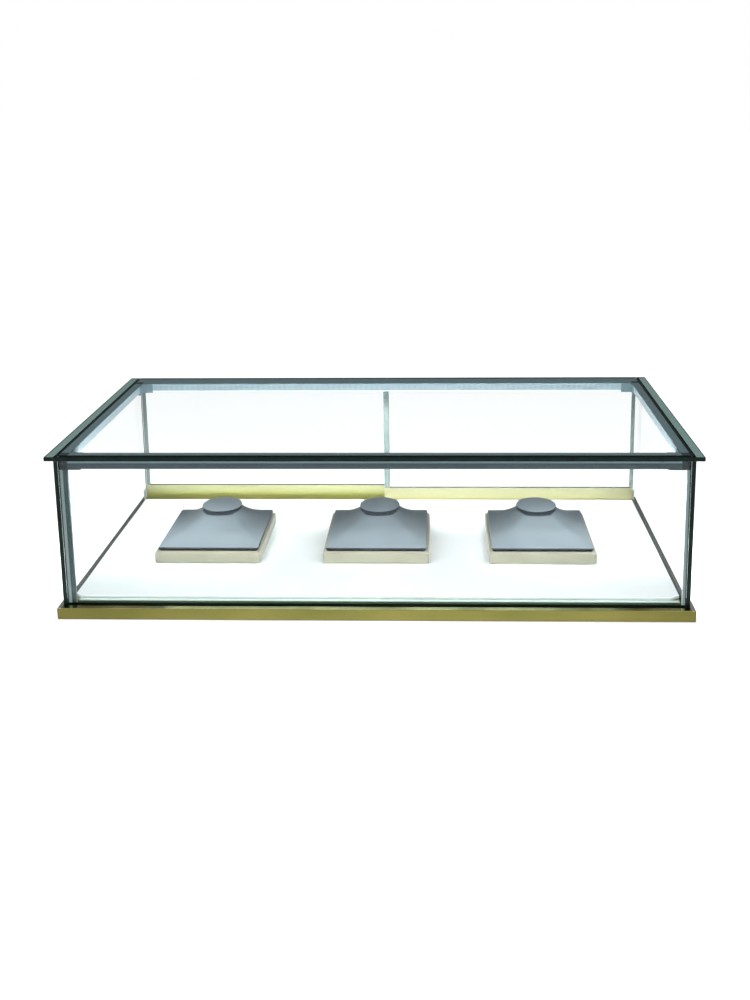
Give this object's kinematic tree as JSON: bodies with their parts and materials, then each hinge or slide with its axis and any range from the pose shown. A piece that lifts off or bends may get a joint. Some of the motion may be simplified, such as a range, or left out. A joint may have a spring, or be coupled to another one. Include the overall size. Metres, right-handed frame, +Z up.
{
  "type": "glass display showcase",
  "caption": "Low table-top glass display case with a lit top frame, sliding rear doors, a gold base and loose necklace stands.",
  "frame": {"origin": "centre of the base's footprint, on the surface the showcase stands on", "axes": "+X to the customer's right, -Y towards the customer, +Y towards the staff side with the sliding doors, +Z up"},
  "size_m": [1.2, 0.584, 0.317],
  "materials": {
    "glass": "clear float glass with ground edges",
    "gold": "gold-finished stainless, polished ledge and satin face",
    "gold_satin": "pale gold satin aluminium",
    "board": "raw fibreboard",
    "deck_white": "white, slightly glossy",
    "grey_seal": "matt grey",
    "dark_seal": "matt black",
    "rubber": "matt black",
    "black_plastic": "fine texture",
    "grey_metal": "powder coat",
    "screw_steel": "zinc plated",
    "cable_white": "PVC sheath",
    "clear_bead": "clear bonding bead",
    "clear_profile": "smoky clear extrusion",
    "light_aluminium": "blue-grey anodised",
    "diffuser": "opal cover, lit",
    "led": "strip with chips, lit",
    "corner_plastic": "satin blue-grey moulding",
    "nylon": "natural nylon",
    "grey_leatherette": "satin leatherette",
    "cream_leatherette": "smooth leatherette"
  },
  "bodies": {
    "cabinet": {"base_tray": "gold", "base_board": "board", "feet": "rubber", "deck_panel": "deck_white", "deck_side_seals": "grey_seal", "led_driver": "black_plastic", "driver_cover": "grey_metal", "driver_cover_screws": "screw_steel", "dc_inlet": "black_plastic", "light_feed_cable": "cable_white", "pane_bedding": "dark_seal", "corner_beads": "clear_bead", "wire_conduit": "light_aluminium", "led_strips": "led", "door_top_channel": "light_aluminium", "door_guide_liners": "black_plastic", "door_bottom_track": "light_aluminium", "track_screws": "screw_steel", "door_bumpers": "rubber", "top_glass": "glass", "front_glass": "glass", "left_glass": "glass", "right_glass": "glass", "front_light_housing": "light_aluminium", "front_light_diffuser": "diffuser", "rear_light_housing": "light_aluminium", "rear_light_diffuser": "diffuser", "left_light_housing": "light_aluminium", "left_light_diffuser": "diffuser", "right_light_housing": "light_aluminium", "right_light_diffuser": "diffuser", "front_left_light_corner": "corner_plastic", "front_right_light_corner": "corner_plastic", "rear_left_light_corner": "corner_plastic", "rear_right_light_corner": "corner_plastic"},
    "left_door": {"left_door_glass": "glass", "left_door_rail": "gold_satin", "left_door_gasket": "dark_seal", "left_door_edge_profiles": "clear_profile", "left_door_axles": "screw_steel"},
    "left_door_roller_a": {"left_door_roller_a": "nylon"},
    "left_door_roller_b": {"left_door_roller_b": "nylon"},
    "right_door": {"right_door_glass": "glass", "right_door_rail": "gold_satin", "right_door_gasket": "dark_seal", "right_door_edge_profiles": "clear_profile", "right_door_axles": "screw_steel"},
    "right_door_roller_a": {"right_door_roller_a": "nylon"},
    "right_door_roller_b": {"right_door_roller_b": "nylon"},
    "left_stand": {"left_stand_base": "cream_leatherette", "left_stand_form": "grey_leatherette", "left_stand_cap": "grey_leatherette"},
    "centre_stand": {"centre_stand_base": "cream_leatherette", "centre_stand_form": "grey_leatherette", "centre_stand_cap": "grey_leatherette"},
    "right_stand": {"right_stand_base": "cream_leatherette", "right_stand_form": "grey_leatherette", "right_stand_cap": "grey_leatherette"}
  },
  "joints": [
    {"name": "left_door_slide", "type": "slide", "parent": "cabinet", "child": "left_door", "axis": [1, 0, 0], "range_m": [0, 0.565]},
    {"name": "right_door_slide", "type": "slide", "parent": "cabinet", "child": "right_door", "axis": [1, 0, 0], "range_m": [-0.565, 0]},
    {"name": "left_roller_a_spin", "type": "hinge", "parent": "left_door", "child": "left_door_roller_a", "pos_m": [-0.5145, 0.279, 0.0323], "axis": [0, 1, 0], "range_deg": [-5, 4630]},
    {"name": "left_roller_b_spin", "type": "hinge", "parent": "left_door", "child": "left_door_roller_b", "pos_m": [-0.054, 0.279, 0.0323], "axis": [0, 1, 0], "range_deg": [-5, 4630]},
    {"name": "right_roller_a_spin", "type": "hinge", "parent": "right_door", "child": "right_door_roller_a", "pos_m": [0.054, 0.262, 0.0323], "axis": [0, 1, 0], "range_deg": [-4630, 5]},
    {"name": "right_roller_b_spin", "type": "hinge", "parent": "right_door", "child": "right_door_roller_b", "pos_m": [0.5145, 0.262, 0.0323], "axis": [0, 1, 0], "range_deg": [-4630, 5]},
    {"name": "left_stand_lift", "type": "slide", "parent": "cabinet", "child": "left_stand", "axis": [0, 0, 1], "range_m": [0, 0.08]},
    {"name": "centre_stand_lift", "type": "slide", "parent": "cabinet", "child": "centre_stand", "axis": [0, 0, 1], "range_m": [0, 0.08]},
    {"name": "right_stand_lift", "type": "slide", "parent": "cabinet", "child": "right_stand", "axis": [0, 0, 1], "range_m": [0, 0.08]}
  ],
  "couplings": [
    {"joint": "left_roller_a_spin", "follows": "left_door_slide", "rad_per_m": 142.86},
    {"joint": "left_roller_b_spin", "follows": "left_door_slide", "rad_per_m": 142.86},
    {"joint": "right_roller_a_spin", "follows": "right_door_slide", "rad_per_m": 142.86},
    {"joint": "right_roller_b_spin", "follows": "right_door_slide", "rad_per_m": 142.86}
  ]
}
